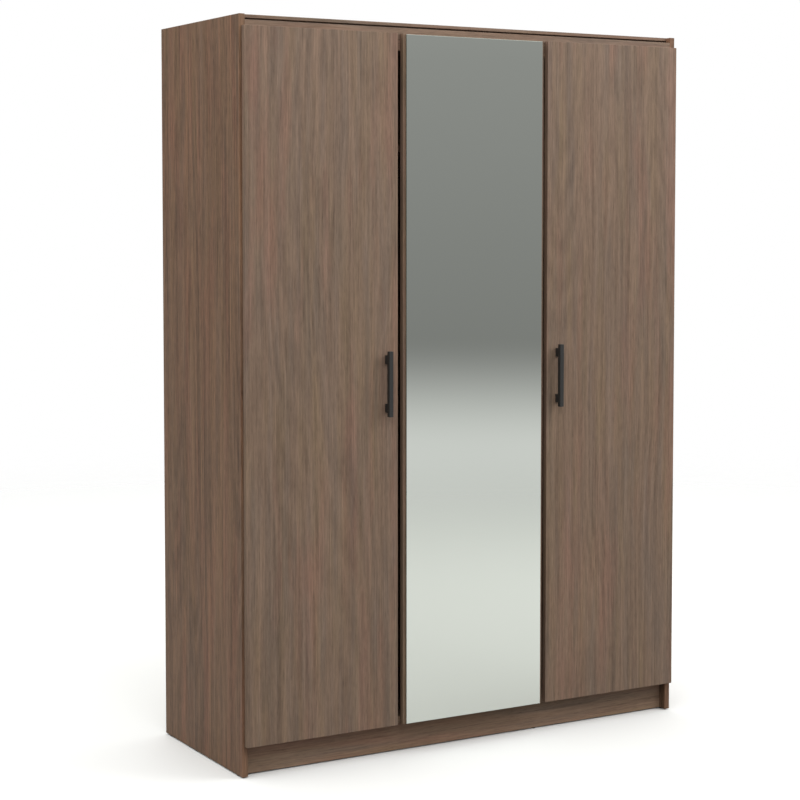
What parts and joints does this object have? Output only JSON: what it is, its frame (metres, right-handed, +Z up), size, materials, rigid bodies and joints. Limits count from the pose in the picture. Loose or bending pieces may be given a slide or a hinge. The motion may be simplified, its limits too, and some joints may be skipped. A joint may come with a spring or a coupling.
{
  "type": "wardrobe with doors",
  "caption": "Wardrobe in wood-effect board: overlay doors on cup hinges, one with a full-height mirror, a hanging compartment and a shelf compartment.",
  "frame": {"origin": "on the floor, under the middle of the bounding box, handles included", "axes": "+X to the wardrobe's right as seen from the front, +Y to its back, +Z up; the doors face -Y"},
  "size_m": [1.376, 0.538, 1.95],
  "materials": {
    "wood_effect_board": "grey-brown walnut-effect foil with a fine straight grain, satin",
    "hardboard_back": "thin printed hardboard, matt",
    "mirror_glass": "silvered float glass with ground edges",
    "anthracite_metal": "fine dark powder coat, low gloss",
    "bright_chrome": "bright plated steel tube",
    "nickel_steel": "nickel-plated pressed steel",
    "dark_plastic": "moulded dark plastic, matt"
  },
  "bodies": {
    "carcass": {"side_panel_left": "wood_effect_board", "side_panel_right": "wood_effect_board", "bottom_panel": "wood_effect_board", "top_panel": "wood_effect_board", "top_front_rail": "wood_effect_board", "partition_panel": "wood_effect_board", "plinth_front": "wood_effect_board", "plinth_rear": "wood_effect_board", "hat_shelf": "wood_effect_board", "shelf_1": "wood_effect_board", "shelf_2": "wood_effect_board", "shelf_3": "wood_effect_board", "shelf_4": "wood_effect_board", "back_panel_left": "hardboard_back", "back_panel_middle": "hardboard_back", "back_panel_right": "hardboard_back", "back_joint_strip": "dark_plastic", "glide_front_left": "dark_plastic", "glide_front_right": "dark_plastic", "glide_rear_left": "dark_plastic", "glide_rear_right": "dark_plastic", "glide_plinth_front": "dark_plastic", "glide_plinth_rear": "dark_plastic", "hanging_rail": "bright_chrome", "rail_socket_left": "bright_chrome", "rail_socket_right": "bright_chrome", "hinge_arm_left_bottom": "nickel_steel", "hinge_arm_left_middle": "nickel_steel", "hinge_arm_left_top": "nickel_steel", "hinge_arm_middle_bottom": "nickel_steel", "hinge_arm_middle_middle": "nickel_steel", "hinge_arm_middle_top": "nickel_steel", "hinge_arm_right_bottom": "nickel_steel", "hinge_arm_right_middle": "nickel_steel", "hinge_arm_right_top": "nickel_steel"},
    "door_left": {"door_left": "wood_effect_board", "handle_left": "anthracite_metal", "hinge_cup_left_bottom": "nickel_steel", "hinge_cup_left_middle": "nickel_steel", "hinge_cup_left_top": "nickel_steel"},
    "door_middle": {"door_middle": "wood_effect_board", "mirror_backing": "hardboard_back", "mirror": "mirror_glass", "hinge_cup_middle_bottom": "nickel_steel", "hinge_cup_middle_middle": "nickel_steel", "hinge_cup_middle_top": "nickel_steel"},
    "door_right": {"door_right": "wood_effect_board", "handle_right": "anthracite_metal", "hinge_cup_right_bottom": "nickel_steel", "hinge_cup_right_middle": "nickel_steel", "hinge_cup_right_top": "nickel_steel"},
    "hinge_links_left": {"hinge_link_left_bottom": "nickel_steel", "hinge_link_left_middle": "nickel_steel", "hinge_link_left_top": "nickel_steel"},
    "hinge_links_middle": {"hinge_link_middle_bottom": "nickel_steel", "hinge_link_middle_middle": "nickel_steel", "hinge_link_middle_top": "nickel_steel"},
    "hinge_links_right": {"hinge_link_right_bottom": "nickel_steel", "hinge_link_right_middle": "nickel_steel", "hinge_link_right_top": "nickel_steel"}
  },
  "joints": [
    {"name": "door_left_hinge", "type": "hinge", "parent": "carcass", "child": "door_left", "pos_m": [-0.677, -0.237, 1.0015], "axis": [0, 0, -1], "range_deg": [0, 95]},
    {"name": "door_middle_hinge", "type": "hinge", "parent": "carcass", "child": "door_middle", "pos_m": [0.217, -0.237, 1.0015], "axis": [0, 0, 1], "range_deg": [0, 95]},
    {"name": "door_right_hinge", "type": "hinge", "parent": "carcass", "child": "door_right", "pos_m": [0.677, -0.237, 1.0015], "axis": [0, 0, 1], "range_deg": [0, 95]},
    {"name": "hinge_links_left_turn", "type": "hinge", "parent": "carcass", "child": "hinge_links_left", "pos_m": [-0.677, -0.237, 1.0015], "axis": [0, 0, -1], "range_deg": [0, 53]},
    {"name": "hinge_links_middle_turn", "type": "hinge", "parent": "carcass", "child": "hinge_links_middle", "pos_m": [0.217, -0.237, 1.0015], "axis": [0, 0, 1], "range_deg": [0, 53]},
    {"name": "hinge_links_right_turn", "type": "hinge", "parent": "carcass", "child": "hinge_links_right", "pos_m": [0.677, -0.237, 1.0015], "axis": [0, 0, 1], "range_deg": [0, 53]}
  ],
  "couplings": [
    {"joint": "hinge_links_left_turn", "follows": "door_left_hinge", "ratio": 0.55},
    {"joint": "hinge_links_middle_turn", "follows": "door_middle_hinge", "ratio": 0.55},
    {"joint": "hinge_links_right_turn", "follows": "door_right_hinge", "ratio": 0.55}
  ]
}
